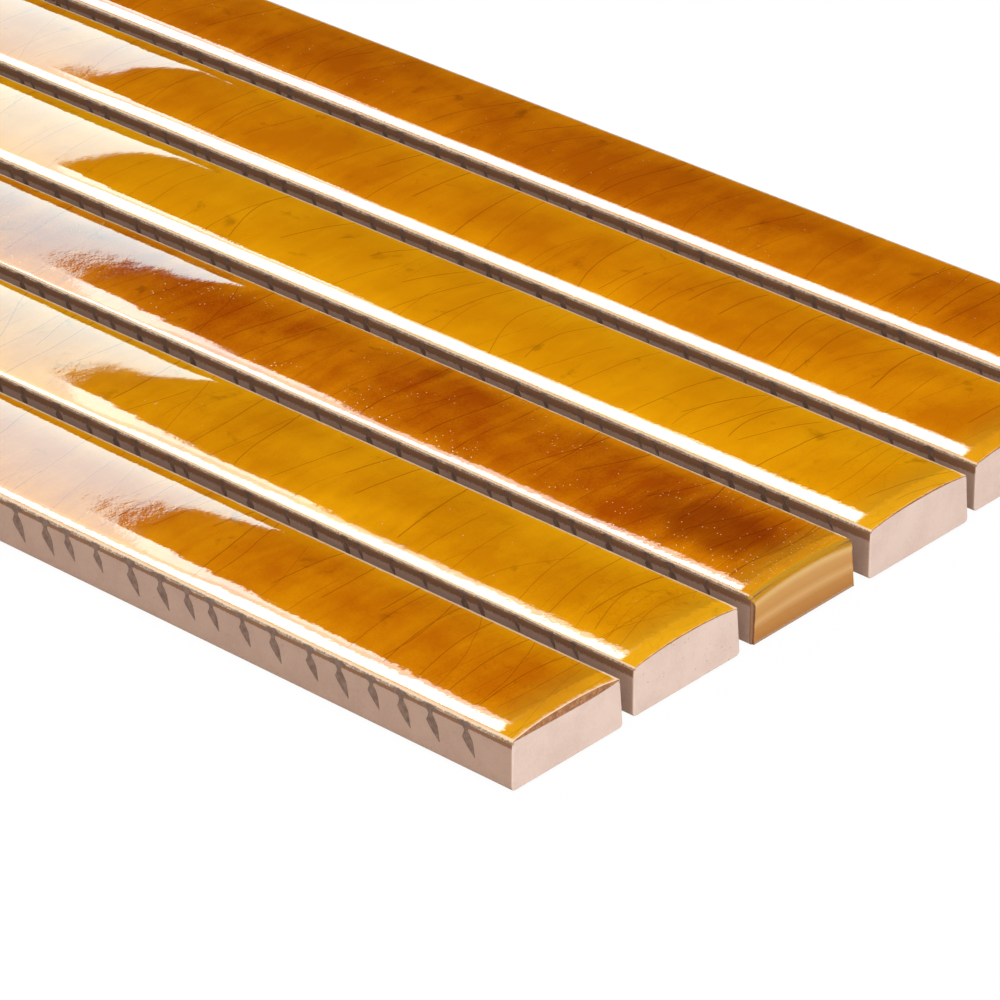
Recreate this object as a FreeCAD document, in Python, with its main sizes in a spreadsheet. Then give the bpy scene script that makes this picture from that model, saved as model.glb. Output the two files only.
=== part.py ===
# Mosaic sheet of six glazed ceramic strips on a glass-fibre backing mesh.
# Frame: +X along the strips, +Y across them, +Z up out of the glazed face.
# The origin is the middle of the underside. All sizes are in millimetres.
import FreeCAD, Part
import Sketcher
import math
import os

doc = FreeCAD.newDocument("mosaic_sheet")

# Driving dimensions
# The first block is shared by all strips, the second by the backing mesh.
SIZES = [
    ("strip_length", 302.0),
    ("strip_width", 22.9),
    ("edge_height", 8.3),
    ("joint_width", 2.5),
    ("side_draft", 0.4),
    ("shoulder_radius", 1.0),
    ("back_arris", 0.8),
    ("chip_bevel", 0.35),
    ("mesh_thickness", 0.4),
    ("mesh_pitch", 11.0),
    ("mesh_inset", 4.0),
    ("yarn_width", 1.0),
]

# What differs from strip to strip: the crown of the hand-finished face, how far each
# end stops short of the sheet's end, and whether the end at +X is glazed or cut.
STRIPS = [
    {"crown": 0.95, "near_setback": 0.0, "far_setback": 0.5, "glazed_end": False},
    {"crown": 0.85, "near_setback": 0.5, "far_setback": 0.0, "glazed_end": False},
    {"crown": 0.85, "near_setback": 0.5, "far_setback": 0.7, "glazed_end": True},
    {"crown": 0.95, "near_setback": 0.1, "far_setback": 0.3, "glazed_end": False},
    {"crown": 0.90, "near_setback": 1.1, "far_setback": 0.4, "glazed_end": False},
    {"crown": 0.85, "near_setback": 0.4, "far_setback": 0.2, "glazed_end": False},
]

table = doc.addObject("Spreadsheet::Sheet", "sizes")


def write_sizes():
    """Put every driving dimension in the table, one row each, with its name as alias."""
    rows = list(SIZES)
    for number, strip in enumerate(STRIPS, start=1):
        for name in ("crown", "near_setback", "far_setback"):
            rows.append((f"{name}_of_strip_{number}", strip[name]))
    for row, (alias, size) in enumerate(rows, start=1):
        table.set(f"A{row}", alias)
        table.set(f"B{row}", str(size))
        table.setAlias(f"B{row}", alias)
    doc.recompute()


def cell(alias):
    """The name by which an expression reads one size of the table."""
    return f"<<sizes>>.{alias}"


def value(alias):
    return float(table.get(alias))


def origin_plane(body, role):
    return next(f for f in body.Origin.OriginFeatures if f.Role == role)


def new_body(label):
    body = doc.addObject("PartDesign::Body", label)
    body.Label = label
    return body


def sketch_on(body, role, name):
    sketch = body.newObject("Sketcher::SketchObject", name)
    sketch.AttachmentSupport = (origin_plane(body, role), "")
    sketch.MapMode = "FlatFace"
    return sketch


def name_last(sketch, name, expression):
    """Name the constraint that was added last, and tie it to the table."""
    sketch.renameConstraint(sketch.ConstraintCount - 1, name)
    sketch.setExpression(f"Constraints.{name}", expression)


def draw_section(body, number):
    """A strip's section: flat back, sides that draw in upwards, and a crowned face."""
    half_base = value("strip_width") / 2
    half_face = half_base - value("side_draft")
    edge = value("edge_height")
    crown = value(f"crown_of_strip_{number}")
    back_left = FreeCAD.Vector(-half_base, 0, 0)
    back_right = FreeCAD.Vector(half_base, 0, 0)
    face_right = FreeCAD.Vector(half_face, edge, 0)
    face_left = FreeCAD.Vector(-half_face, edge, 0)
    face_top = FreeCAD.Vector(0, edge + crown, 0)

    sketch = sketch_on(body, "YZ_Plane", "section")
    back = sketch.addGeometry(Part.LineSegment(back_left, back_right))
    right = sketch.addGeometry(Part.LineSegment(back_right, face_right))
    face = sketch.addGeometry(Part.Arc(face_right, face_top, face_left))
    left = sketch.addGeometry(Part.LineSegment(face_left, back_left))

    start, end = 1, 2
    x_axis, y_axis = -1, -2
    sketch.addConstraint(Sketcher.Constraint("Coincident", back, end, right, start))
    sketch.addConstraint(Sketcher.Constraint("Coincident", right, end, face, start))
    sketch.addConstraint(Sketcher.Constraint("Coincident", face, end, left, start))
    sketch.addConstraint(Sketcher.Constraint("Coincident", left, end, back, start))
    sketch.addConstraint(Sketcher.Constraint("PointOnObject", back, start, x_axis))
    sketch.addConstraint(Sketcher.Constraint("Symmetric", back, start, back, end, y_axis))
    sketch.addConstraint(Sketcher.Constraint("Symmetric", left, start, right, end, y_axis))

    sketch.addConstraint(
        Sketcher.Constraint("DistanceX", back, start, back, end, 2 * half_base)
    )
    name_last(sketch, "base_width", cell("strip_width"))
    sketch.addConstraint(
        Sketcher.Constraint("DistanceX", left, start, right, end, 2 * half_face)
    )
    name_last(sketch, "face_width", f"{cell('strip_width')} - 2 * {cell('side_draft')}")
    sketch.addConstraint(Sketcher.Constraint("DistanceY", x_axis, start, right, end, edge))
    name_last(sketch, "edge_height", cell("edge_height"))
    half = f"({cell('strip_width')} / 2 - {cell('side_draft')})"
    rise = cell(f"crown_of_strip_{number}")
    radius = (half_face**2 + crown**2) / (2 * crown)
    sketch.addConstraint(Sketcher.Constraint("Radius", face, radius))
    name_last(sketch, "crown_radius", f"({half} ^ 2 + {rise} ^ 2) / (2 * {rise})")
    return sketch


def edge_names(feature, wanted):
    """The names of a feature's edges for which wanted(edge's box) is true."""
    edges = feature.Shape.Edges
    names = [f"Edge{i}" for i, edge in enumerate(edges, start=1) if wanted(edge.BoundBox)]
    if not names:
        raise ValueError(f"{feature.Name} has no such edge")
    return names


def make_strip(number, strip):
    """One fired strip: a pad of its section, with rounded shoulders and back arrises."""
    body = new_body(f"strip_{number}")
    near = cell(f"near_setback_of_strip_{number}")
    far = cell(f"far_setback_of_strip_{number}")
    length = (
        value("strip_length")
        - value(f"near_setback_of_strip_{number}")
        - value(f"far_setback_of_strip_{number}")
    )
    edge = value("edge_height")
    long_edge = 0.9 * length
    thin = 1e-4

    bar = body.newObject("PartDesign::Pad", "bar")
    bar.Profile = draw_section(body, number)
    bar.setExpression("Length", f"{cell('strip_length')} - {near} - {far}")
    doc.recompute()

    def shoulder(box):
        """The two upper long edges and, on a glazed end, its upright and top edges."""
        if box.XLength > long_edge:
            return box.ZMin > edge / 2
        on_near_end = box.XMin > length - thin
        return strip["glazed_end"] and on_near_end and box.ZMax > edge / 2

    def back(box):
        return box.XLength > long_edge and box.ZMax < edge / 2

    def cut_face_edge(box):
        """The face's edges on the cut ends, where the glaze flaked off."""
        on_near_end = box.XMin > length - thin and not strip["glazed_end"]
        on_far_end = box.XMax < thin
        return (on_near_end or on_far_end) and box.ZMin > edge / 2

    shoulders = body.newObject("PartDesign::Fillet", "shoulders")
    shoulders.Base = (bar, edge_names(bar, shoulder))
    shoulders.setExpression("Radius", cell("shoulder_radius"))
    doc.recompute()

    arrises = body.newObject("PartDesign::Fillet", "arrises")
    arrises.Base = (shoulders, edge_names(shoulders, back))
    arrises.setExpression("Radius", cell("back_arris"))
    doc.recompute()

    chips = body.newObject("PartDesign::Chamfer", "chips")
    chips.Base = (arrises, edge_names(arrises, cut_face_edge))
    chips.setExpression("Size", cell("chip_bevel"))
    doc.recompute()

    middle = (len(STRIPS) + 1) / 2
    pitch = f"({cell('strip_width')} + {cell('joint_width')})"
    body.setExpression("Placement.Base.x", f"{far} - {cell('strip_length')} / 2")
    body.setExpression("Placement.Base.y", f"{number - middle} * {pitch}")
    body.setExpression("Placement.Base.z", cell("mesh_thickness"))
    return body


def windows_to_cut(columns, rows):
    """Square windows of the mesh, with a yarn left on each of its two middle lines."""
    pitch = value("mesh_pitch")
    yarn = value("yarn_width")
    side = pitch - yarn
    windows = []
    for column in range(-columns, columns):
        for row in range(-rows, rows):
            corner = FreeCAD.Vector(column * pitch + yarn / 2, row * pitch + yarn / 2, 0)
            windows.append(Part.makePlane(side, side, corner))
    return windows


def make_mesh():
    """The glass-fibre mesh under the strips: flat yarns both ways, fused where they cross.

    Its outermost windows run past the sheet's edge, which leaves the yarns' cut ends there.
    """
    count = len(STRIPS)
    face_width = count * value("strip_width") + (count - 1) * value("joint_width")
    length = value("strip_length") - 2 * value("mesh_inset")
    width = face_width - 2 * value("mesh_inset")
    pitch = value("mesh_pitch")
    yarn = value("yarn_width")
    columns = math.ceil((length - yarn) / 2 / pitch)
    rows = math.ceil((width - yarn) / 2 / pitch)

    sheet = Part.makePlane(length, width, FreeCAD.Vector(-length / 2, -width / 2, 0))
    grid = sheet.cut(windows_to_cut(columns, rows))
    if len(grid.Faces) != 1:
        raise RuntimeError("the mesh fell apart where its windows were cut")
    mesh = doc.addObject("Part::Feature", "backing_mesh")
    mesh.Label = "backing_mesh"
    mesh.Shape = grid.Faces[0].extrude(FreeCAD.Vector(0, 0, value("mesh_thickness")))
    mesh.Placement = FreeCAD.Placement()
    return mesh


def check_document(pieces):
    """Stop if a feature failed, or if a piece is empty, broken or in several solids."""
    for item in doc.Objects:
        if "Invalid" in item.State or "Error" in item.State:
            raise RuntimeError(f"{item.Label} failed: {item.State}")
    for piece in pieces:
        shape = piece.Shape
        if shape.isNull() or not shape.isValid() or len(shape.Solids) != 1:
            raise RuntimeError(f"{piece.Label} isn't one valid solid")
        box = shape.BoundBox
        size = f"{box.XLength:.2f} x {box.YLength:.2f} x {box.ZLength:.2f}"
        print(f"{piece.Label}: {size} mm, {shape.Volume / 1000:.2f} cm3")


write_sizes()
pieces = [make_strip(number, strip) for number, strip in enumerate(STRIPS, start=1)]
pieces.append(make_mesh())
doc.recompute()
check_document(pieces)

os.makedirs("parts", exist_ok=True)
for piece in pieces:
    piece.Shape.exportStep(f"parts/{piece.Label}.step")
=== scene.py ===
# %% [markdown]
# A mosaic sheet: six long strips of fired clay under a honey-coloured crackle glaze, held
# side by side on a glass-fibre mesh. The solid model gives every size and place. This
# script dresses each strip with a clay body, a pool of glass and the marks of the kiln.

# %% The frame and the tools
import math

import bpy
import numpy as np
from mathutils import Matrix, Vector, noise


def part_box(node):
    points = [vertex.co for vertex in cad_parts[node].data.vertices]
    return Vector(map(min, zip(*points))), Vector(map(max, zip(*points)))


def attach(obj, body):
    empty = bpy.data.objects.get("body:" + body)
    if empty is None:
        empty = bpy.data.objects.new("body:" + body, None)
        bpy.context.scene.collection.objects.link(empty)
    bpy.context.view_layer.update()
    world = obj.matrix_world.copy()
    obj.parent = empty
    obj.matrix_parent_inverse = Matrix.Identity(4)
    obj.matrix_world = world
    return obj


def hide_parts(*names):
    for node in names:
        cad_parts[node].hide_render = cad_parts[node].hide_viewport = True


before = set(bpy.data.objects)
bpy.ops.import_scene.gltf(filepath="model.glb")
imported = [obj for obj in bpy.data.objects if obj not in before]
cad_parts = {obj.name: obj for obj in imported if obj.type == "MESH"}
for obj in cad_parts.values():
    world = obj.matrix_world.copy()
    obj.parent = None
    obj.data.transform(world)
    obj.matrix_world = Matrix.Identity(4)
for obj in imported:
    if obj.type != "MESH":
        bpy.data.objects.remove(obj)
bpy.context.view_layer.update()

# %% [markdown]
# Each strip was dipped and fired by hand, so no two look alike. What the eye picks out is
# listed here: the deep and the pale shade of its glaze, the millimetres of glass that
# pooled, the radius of its shoulders, its share of pinholes, how far its edges droop, and
# how square its dome is. The last four shape its reflections: the degrees by which the
# face leans along X, the place in millimetres where it bends down again and so ends the
# mirrored light, how strongly the shoulders bead, and how far the near edge tips over.

# %% What differs from strip to strip
MM = 0.001
COLUMNS = "deep pale pool round specks droop power lean bend beads tip".split()
ROWS = [
    [(0.54, 0.135, 0.0004), (0.82, 0.32, 0.001), 1.50, 0.80, 0.0, 0.0, 2.4, 1.0, 86.0, 0.3, 0.0],
    [(0.62, 0.215, 0.0004), (0.90, 0.39, 0.002), 0.36, 0.50, 0.1, 0.1, 2.2, 0.1, 44.0, 0.8, 0.0],
    [(0.40, 0.070, 0.0003), (0.80, 0.27, 0.001), 0.40, 0.55, 1.0, 0.1, 2.2, -0.1, 24.0, 0.5, 0.0],
    [(0.70, 0.255, 0.0004), (0.90, 0.39, 0.002), 0.45, 0.60, 0.0, 0.0, 2.4, -0.35, -20.0, 2.5, 1.0],
    [(0.60, 0.170, 0.0004), (0.86, 0.33, 0.001), 0.42, 0.60, 0.0, 0.0, 2.3, -0.7, -41.0, 3.0, 1.5],
    [(0.46, 0.100, 0.0004), (0.78, 0.25, 0.001), 0.42, 0.60, 0.15, 0.0, 2.3, -0.9, -80.0, 3.5, 1.8],
]
STRIPS = {f"strip_{n}": dict(zip(COLUMNS, row)) for n, row in enumerate(ROWS, start=1)}
GLAZED_END = "strip_3"
print(len(STRIPS), "strips, of which", GLAZED_END, "is glazed over its near end")

# %% [markdown]
# A strip is a long bar, so one section drawn well gives the whole of it. The section has a
# flat back, sides that draw in upwards, round shoulders and a face that domes a little
# because molten glass pulls itself into a lens. The face is a power curve: flat in the
# middle and falling faster near its edges.

# %% The section of a strip
HALF_BASE = 11.45 * MM
EDGE_HEIGHT = 8.3 * MM
SIDE_DRAFT = 0.4 * MM
HALF_FACE = HALF_BASE - SIDE_DRAFT
BACK_ARRIS = 0.8 * MM
SIDE_ANGLE = math.pi / 2 - math.atan2(SIDE_DRAFT, EDGE_HEIGHT)


def side_at(height):
    """How far out the side stands at a height."""
    return HALF_BASE - SIDE_DRAFT * height / EDGE_HEIGHT


def face_at(y, dome):
    """Height of the domed face, and the angle by which it leans outwards there."""
    top, fall, power, _ = dome
    share = abs(y) / HALF_FACE
    slope = fall * power * share ** (power - 1) / HALF_FACE
    return top - fall * share**power, math.atan(slope)


def shoulder_start(dome):
    """Where the face has to end for the shoulder's arc to run into the side."""
    radius = dome[3]
    low, high = HALF_FACE - 2 * radius, HALF_FACE
    for _ in range(40):
        y = (low + high) / 2
        height, lean = face_at(y, dome)
        end_y = y + radius * (math.sin(SIDE_ANGLE) - math.sin(lean))
        end_height = height - radius * (math.cos(lean) - math.cos(SIDE_ANGLE))
        if end_y > side_at(end_height):
            high = y
        else:
            low = y
    return y


def half_section(dome, across=18, round_steps=9):
    """Points (y, z, lean) from the middle of the face outwards to the shoulder's end."""
    start = shoulder_start(dome)
    points = []
    for i in range(across):
        y = start * i / (across - 1)
        height, lean = face_at(y, dome)
        points.append((y, height, lean))
    top_y, top_z, top_lean = points[-1]
    for i in range(1, round_steps + 1):
        lean = top_lean + (SIDE_ANGLE - top_lean) * i / round_steps
        y = top_y + dome[3] * (math.sin(lean) - math.sin(top_lean))
        z = top_z - dome[3] * (math.cos(top_lean) - math.cos(lean))
        points.append((y, z, lean))
    return np.array(points)


SAMPLE_DOME = (9.25 * MM, 0.95 * MM, 2.4, 0.8 * MM)
sample = half_section(SAMPLE_DOME)
print("shoulder ends", np.round(sample[-1, :2] / MM, 2), "mm from the strip's middle and back")

# %% [markdown]
# No kiln leaves a face flat. Long shallow waves bend what it mirrors, and they are what
# tells the eye that it is glass. They are real height here, a few hundredths of a
# millimetre, because bump alone leaves the outline dead straight.

# %% Waves and wandering edges
WAVE_HEIGHT = 0.045 * MM
EDGE_WANDER = 0.07 * MM


def waves(x, y, seed):
    """Height of the face's waves at a point, from three sizes of noise."""
    long_wave = noise.noise(Vector((x / 0.034, y / 0.016, seed)))
    short_wave = noise.noise(Vector((x / 0.013, y / 0.009, seed + 7.3)))
    ripple = noise.noise(Vector((x / 0.0045, y / 0.0045, seed + 15.1)))
    return WAVE_HEIGHT * (long_wave + 0.35 * short_wave + 0.06 * ripple)


def wander(x, seed, step=0.011):
    """A sideways drift along a strip, from minus one to one."""
    slow = noise.noise(Vector((x / step, seed, 0.5)))
    return slow + 0.4 * noise.noise(Vector((x / step * 4, seed, 9.5)))


print("waves at three places:", [round(waves(x, 0, 1) / MM, 3) for x in (0.0, 0.02, 0.05)], "mm")

# %% [markdown]
# Both the clay and the glass are skins stretched over a grid of points: one row for each
# station along the strip, one column for each point of the section. A helper turns such
# grids into a closed mesh, so that the pieces are also whole as solids.

# %% From grids of points to closed meshes
def grid_faces(rows, columns, first=0, flip=False):
    """Four-sided faces over a grid of points that is stored row by row."""
    row, column = np.meshgrid(np.arange(rows - 1), np.arange(columns - 1), indexing="ij")
    a = first + row * columns + column
    quads = np.stack([a, a + 1, a + columns + 1, a + columns], -1).reshape(-1, 4)
    return quads[:, ::-1] if flip else quads


def loop_faces(ring, other):
    """Four-sided faces between two closed rings of point numbers."""
    ring, other = np.asarray(ring), np.asarray(other)
    return np.stack([ring, np.roll(ring, -1), np.roll(other, -1), other], -1)


def border(rows, columns, first=0):
    """Point numbers around the edge of a grid, in order."""
    number = first + np.arange(rows * columns).reshape(rows, columns)
    return np.concatenate(
        [number[0, :-1], number[:-1, -1], number[-1, :0:-1], number[:0:-1, 0]]
    )


def linked(name, data):
    """A new object in the scene that holds the data."""
    made = bpy.data.objects.new(name, data)
    bpy.context.scene.collection.objects.link(made)
    return made


def mesh_object(name, points, faces, attributes):
    """A mesh object at the origin, with named numbers kept for each of its points."""
    mesh = bpy.data.meshes.new(name)
    mesh.from_pydata(np.asarray(points).tolist(), [], [list(map(int, face)) for face in faces])
    for label, values in attributes:
        mesh.attributes.new(label, "FLOAT", "POINT").data.foreach_set(
            "value", np.asarray(values, np.float32).ravel()
        )
    mesh.polygons.foreach_set("use_smooth", [True] * len(mesh.polygons))
    mesh.update()
    return linked(name, mesh)


print("helpers ready; a 3 by 4 grid has", len(grid_faces(3, 4)), "faces")

# %% [markdown]
# Stations lie a millimetre apart along the strip and crowd together at its ends,
# where edges turn over quickly.

# %% Stations along a strip
STATION_STEP = 1.1 * MM
END_ROUND = 0.12 * MM


def stations(start, end, radius):
    """Places along X, and at each how far the skin drops to round off the strip's ends."""
    turn = np.linspace(0, math.pi / 2, 6)
    rise = radius * (1 - np.cos(turn))
    drop = radius * (1 - np.sin(turn))
    count = int((end - start - 2 * radius) / STATION_STEP)
    middle = np.linspace(start + radius, end - radius, count)[1:-1]
    places = np.concatenate([start + rise, middle, (end - rise)[::-1]])
    drops = np.concatenate([drop, np.zeros(len(middle)), drop[::-1]])
    return places, drops


places, drops = stations(0, 0.3, END_ROUND)
print(len(places), "stations on a 300 mm strip")

# %% [markdown]
# The glass skin covers the face, turns over both shoulders and stops in a rolled bead a
# little way down each side. It is a closed shell: its outer grid is the finished surface,
# and its inner grid is sunk into the clay. Three numbers are kept at each point for the
# finish: where the glass is thin, where clay shows through, and how dark its lower shoulder
# and foot are, which is painted shade with some brown stain.

# %% Thickness and marks of the glass
SIDE_GLASS = 0.25 * MM
FOOT_DROP = 0.15 * MM
FOOT_RAGGED = 0.10 * MM
BEAD = 0.07 * MM
SUNK = 0.08 * MM
FOOT_STEPS = 5
CORNER_LENGTH = 3.0 * MM
CORNER_FALL = 0.05 * MM


def smooth_step(value, low, high):
    share = np.clip((value - low) / (high - low), 0, 1)
    return share * share * (3 - 2 * share)


def full_section(dome):
    """The glazed part of the section from -Y to +Y: its points, their side, and how far down."""
    half = half_section(dome)
    foot = np.repeat(half[-1:], FOOT_STEPS, axis=0)
    half = np.vstack([half, foot])
    left = half[::-1].copy()
    left[:, 0] *= -1
    section = np.vstack([left, half[1:]])
    side = np.sign(section[:, 0])
    down = np.zeros(len(half))
    down[-FOOT_STEPS:] = np.arange(1, FOOT_STEPS + 1) / FOOT_STEPS
    down = np.concatenate([down[::-1], down[1:]])
    return section, side, down


def glass_thickness(section, pool):
    """Thick in the middle of the face, where the glass pooled, and thin on the sides."""
    across = np.clip(section[:, 0] / HALF_FACE, -1, 1)
    return SIDE_GLASS + (pool - SIDE_GLASS) * (1 - np.abs(across) ** 2.6) * (1 + 0.2 * across)


section, side, down = full_section(SAMPLE_DOME)
print(len(section), "points across the glass")

# %% The outer grid of the glass
def place_of(name):
    """A strip's place from the solid model, with the shape of its dome."""
    low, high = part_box(name)
    look = STRIPS[name]
    fall = high.z - low.z - EDGE_HEIGHT + look["droop"] * MM
    return {
        "start": low.x,
        "end": high.x,
        "middle": (low.y + high.y) / 2,
        "back": low.z,
        "dome": (high.z - low.z, fall, look["power"], look["round"] * MM),
        "seed": 3.7 * (1 + list(STRIPS).index(name)),
        "rim": 1.0 if look["pool"] > 1 else 0.5,
        # The depth of the painted shade, with some brown stain, on the clay under the glass foot.
        "toast": (0.7 if look["pool"] > 1 else 1.5) * MM,
    }


def section_at(x, place, parts):
    """One row of the glass: the section at x, bent by the waves and the ragged foot."""
    section, side, down = parts
    seed = place["seed"]
    row = np.column_stack([np.full(len(section), x), section[:, :2]])
    lean = section[:, 2]
    flatness = np.cos(lean) ** 2
    lift = np.array([waves(x, y, seed) for y in section[:, 0]])
    row[:, 2] += (lift - WAVE_HEIGHT) * flatness
    near_end = smooth_step(x, place["end"] - CORNER_LENGTH, place["end"])
    row[:, 2] -= CORNER_FALL * near_end * flatness
    for sign in (-1, 1):
        drift = EDGE_WANDER * (wander(x, seed + 30 * sign) - 1)
        ragged = FOOT_DROP + FOOT_RAGGED * wander(x, seed + 60 * sign, 0.004)
        at_side = side == sign
        row[at_side, 1] += sign * drift * np.sin(lean[at_side])
        row[at_side, 2] -= np.maximum(ragged, 0.05 * MM) * down[at_side]
    return row


def grid_normals(grid):
    """Outward directions over a grid of rows along X and columns from -Y to +Y."""
    along = np.gradient(grid, axis=0)
    around = np.gradient(grid, axis=1)
    normal = np.cross(along, around)
    return normal / np.maximum(np.linalg.norm(normal, axis=2, keepdims=True), 1e-12)


place = place_of("strip_1")
print("strip_1 runs from", round(place["start"] / MM, 1), "to", round(place["end"] / MM, 1), "mm")

# %% [markdown]
# One strip has glass over its near end too, as a tile for an open edge has. Its skin goes
# on past the end: round a small radius and then straight down to just above the back.

# %% Glass over an end
END_RADIUS = 1.1 * MM
UPRIGHT_RADIUS = 0.4 * MM
END_FOOT = 0.3 * MM


def rows_over_end(last, place, parts):
    """Rows that carry the glass over the near end and down its face."""
    section, side, _ = parts
    rows = []
    for turn in np.linspace(0, math.pi / 2, 9)[1:]:
        row = last.copy()
        row[:, 0] = place["end"] - END_RADIUS * (1 - math.sin(turn))
        row[:, 2] -= END_RADIUS * (1 - math.cos(turn))
        inward = UPRIGHT_RADIUS * (1 - math.cos(turn)) * np.sin(section[:, 2])
        row[:, 1] -= side * inward
        rows.append(row)
    over = rows[-1]
    reach = np.concatenate([[0], np.cumsum(np.linalg.norm(np.diff(over, axis=0), axis=1))])
    share = reach / reach[-1]
    half_foot = HALF_BASE - UPRIGHT_RADIUS
    foot = over.copy()
    foot[:, 1] = half_foot * (2 * share - 1)
    foot[:, 2] = END_FOOT
    for step in np.linspace(0, 1, 13)[1:]:
        rows.append(over + (foot - over) * step)
    return rows


print("glass turns down the near end of", GLAZED_END, "with a radius of", END_RADIUS / MM, "mm")

# %% Marks kept on the glass
THIN_AT_SIDE = 2.8 * MM
THIN_AT_END = 2.4 * MM
THIN_POWER = 1.2
SHOULDER_SHOWS = (math.radians(14), math.radians(34))
# Where the shoulder turns down, the glass is darkened as painted shade with some brown stain.
SHOULDER_SHADE_AND_STAIN = (math.radians(34), math.radians(80))


def glass_marks(grid, place, parts, plain_rows):
    """How thin the glass is, where clay shows, and the painted shade and stain low on it."""
    section, side, down = parts
    lean = section[:, 2]
    rows = len(grid)
    from_side = np.maximum(shoulder_start(place["dome"]) - np.abs(section[:, 0]), 0)
    from_end = np.minimum(grid[:, 0, 0] - place["start"], place["end"] - grid[:, 0, 0])
    from_end = np.maximum(from_end, 0)
    thin_side = np.exp(-((from_side / THIN_AT_SIDE) ** THIN_POWER))
    thin_end = np.exp(-((from_end / THIN_AT_END) ** THIN_POWER))
    thin = np.clip(thin_side[None, :] + thin_end[:, None], 0, 1)
    bare_side = 0.9 * smooth_step(lean, *SHOULDER_SHOWS)
    pale_line = 0.9 * (1 - smooth_step(from_side, 0.1 * MM, 0.5 * MM))
    bare_side = np.maximum(bare_side, np.where((side > 0) & (down == 0), pale_line, 0.0))
    rim = place["rim"] * smooth_step(-from_end, -0.24 * MM, -0.12 * MM)
    bare = np.maximum(np.repeat(bare_side[None, :], rows, axis=0), rim[:, None])
    # The lower shoulder and the foot of the glass are darkened: painted shade, with some brown
    # stain.
    low = 0.74 * smooth_step(lean, *SHOULDER_SHADE_AND_STAIN)
    stain_and_shade = np.repeat(np.maximum(low, smooth_step(down, 0.3, 0.95))[None, :], rows, axis=0)
    if plain_rows < rows:
        bare[plain_rows:] = 0.0
        stain_and_shade[plain_rows:] = 0.0
        thin[plain_rows:] = 1.0 + np.linspace(0.02, 1.0, rows - plain_rows)[:, None]
    return thin, bare, stain_and_shade


print("the glass draws thin over", THIN_AT_SIDE / MM, "mm at the sides")

# %% Glass skins
GLAZE_SET_BACK = 0.05 * MM
LEAST_GLASS = 0.06 * MM
END_JAG = 0.06 * MM
DEEPEST_INSIDE = 0.3 * MM
END_ROWS = 7


def rounded_end(row, drop, x, place, parts, thickness):
    """Sink a row at a strip's end by its drop, and leave the end a little jagged."""
    lean = parts[0][:, 2]
    lost = np.minimum(drop, thickness - LEAST_GLASS)
    row[:, 1] -= parts[1] * np.sin(lean) * lost
    row[:, 2] -= np.cos(lean) * lost
    seed = place["seed"]
    jagged = 0.05 * MM * wander(x + 1, seed + 5, 0.003)
    at_end = drop / END_ROUND
    fine = [END_JAG * noise.noise(Vector((y / (1.3 * MM), x * 9, seed))) for y in row[:, 1]]
    row[:, 0] += at_end * np.array(fine) * np.sign(-x) + at_end * min(jagged, 0) * np.sign(x)


def skin_grids(name, place, parts):
    """The middle surface of a glass skin, its outer and inner side, and its plain rows."""
    glazed = name == GLAZED_END
    near = place["end"] - (END_RADIUS if glazed else GLAZE_SET_BACK)
    places, drops = stations(place["start"] + GLAZE_SET_BACK, near, END_ROUND)
    if glazed:
        drops[len(drops) // 2 :] = 0
    thickness = glass_thickness(parts[0], STRIPS[name]["pool"] * MM)
    rows = [section_at(x, place, parts) for x in places]
    for row, drop, x in zip(rows, drops, places):
        rounded_end(row, drop, x, place, parts, thickness)
    plain_rows = len(rows)
    if glazed:
        rows += rows_over_end(rows[-1], place, parts)
    grid = np.array(rows)
    normals = grid_normals(grid)
    bead = BEAD * np.sin(np.clip(parts[2], 0, 1) * math.pi)
    outer = grid + normals * bead[None, :, None]
    inner = grid - normals * (np.minimum(thickness, DEEPEST_INSIDE) + SUNK)[None, :, None]
    level = normals[:plain_rows].copy()
    level[:END_ROWS] = level[END_ROWS]
    level[-END_ROWS:] = level[-END_ROWS - 1]
    inner[:plain_rows] = grid[:plain_rows] - level * (thickness + SUNK)[None, :, None]
    return grid, outer, inner, plain_rows


def make_glass(name):
    """The glass skin of one strip, closed, with its cut ends as a second material."""
    place = place_of(name)
    parts = full_section(place["dome"])
    grid, outer, inner, plain_rows = skin_grids(name, place, parts)
    count_rows, columns = grid.shape[:2]
    under_first = count_rows * columns
    points = np.vstack([outer.reshape(-1, 3), inner.reshape(-1, 3)])
    points += np.array([0, place["middle"], place["back"]])
    skin = grid_faces(count_rows, columns, flip=True)
    under = grid_faces(count_rows, columns, first=under_first)
    edge = loop_faces(
        border(count_rows, columns), border(count_rows, columns, first=under_first)
    )
    marks = zip(("thin", "bare", "stain_and_shade"), glass_marks(grid, place, parts, plain_rows))
    marks = [(label, np.tile(values.ravel(), 2)) for label, values in marks]
    made = mesh_object(name + "_glass", points, np.vstack([skin, under, edge]), marks)
    for polygon in made.data.polygons[len(skin) + len(under) :]:
        across_end = abs(polygon.normal.x) > 0.6
        upright = name == GLAZED_END and polygon.center.x > place["end"] - END_RADIUS
        polygon.use_smooth = not across_end
        polygon.material_index = 1 if across_end or upright else 0
    return made


glass = {name: make_glass(name) for name in STRIPS}
print("glass skins:", {name: len(made.data.polygons) for name, made in glass.items()}, "faces")

# %% [markdown]
# Under the glass is the clay: pinkish, matt and a little uneven, with a sawn end where the
# strip was cut to length. It is the same section again, but lower by the thickness of the
# glass, and it goes right round the back. The body is a ring of points for each station.

# %% The ring of the clay
CLAY_ROUND = 0.35 * MM
CLAY_DRIFT = 0.03 * MM
SIDE_ROWS = 8


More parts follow.
